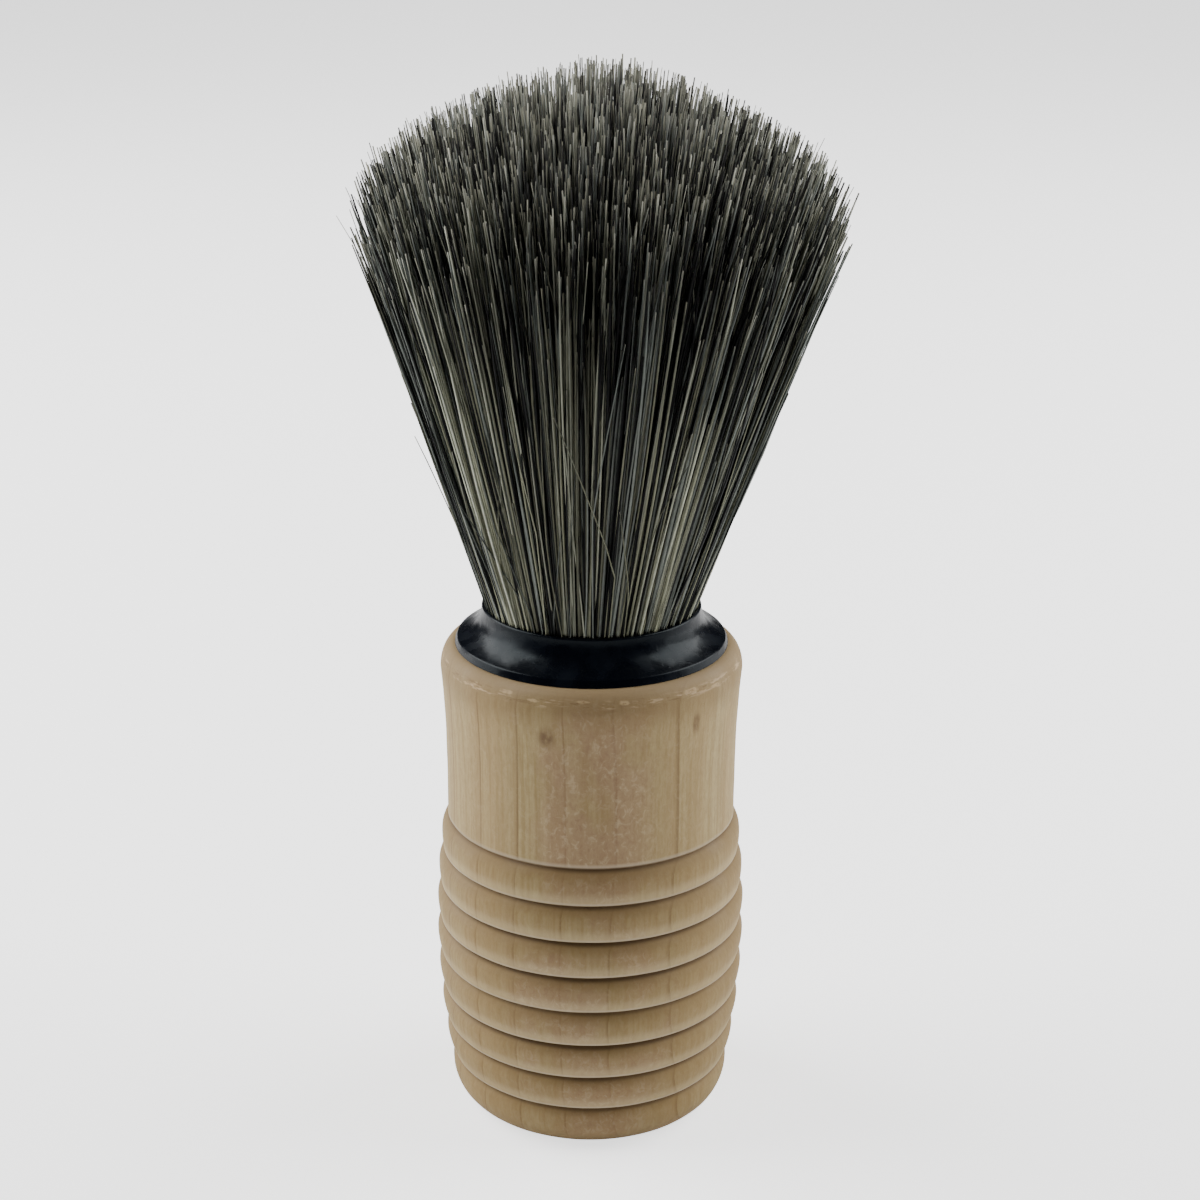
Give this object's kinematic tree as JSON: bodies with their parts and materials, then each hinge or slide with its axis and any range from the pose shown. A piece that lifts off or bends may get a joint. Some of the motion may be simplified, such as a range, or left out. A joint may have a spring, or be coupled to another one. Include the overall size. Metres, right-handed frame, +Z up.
{
  "type": "shaving brush",
  "caption": "Shaving brush: turned pale wood handle with ringed grip, black flared collar, and a fanned knot of mixed dark and light hair that bends aside and springs back.",
  "frame": {"origin": "middle of the flat base, on the axis the handle was turned on", "axes": "+Z up along the turning axis, from the base to the tips of the hair; X and Y are any two level directions, as the brush is round"},
  "size_m": [0.0468, 0.0468, 0.1085],
  "materials": {
    "pale_wood": "matte",
    "black_plastic": "gloss",
    "white_glue": "satin",
    "amber_resin": "gloss",
    "waxed_thread": "satin",
    "mixed_hair": "matte"
  },
  "bodies": {
    "handle_set": {"handle": "pale_wood", "collar": "black_plastic", "glue_bed": "white_glue", "resin_plug": "amber_resin", "binding_thread": "waxed_thread"},
    "hair": {"hair_knot": "mixed_hair"}
  },
  "joints": [
    {"name": "hair_bend", "type": "hinge", "parent": "handle_set", "child": "hair", "pos_m": [0, 0, 0.0549], "axis": [0, 1, 0], "range_deg": [-35, 35], "stiffness_Nm_per_rad": 0.12, "deforming": ["hair_knot"]}
  ]
}
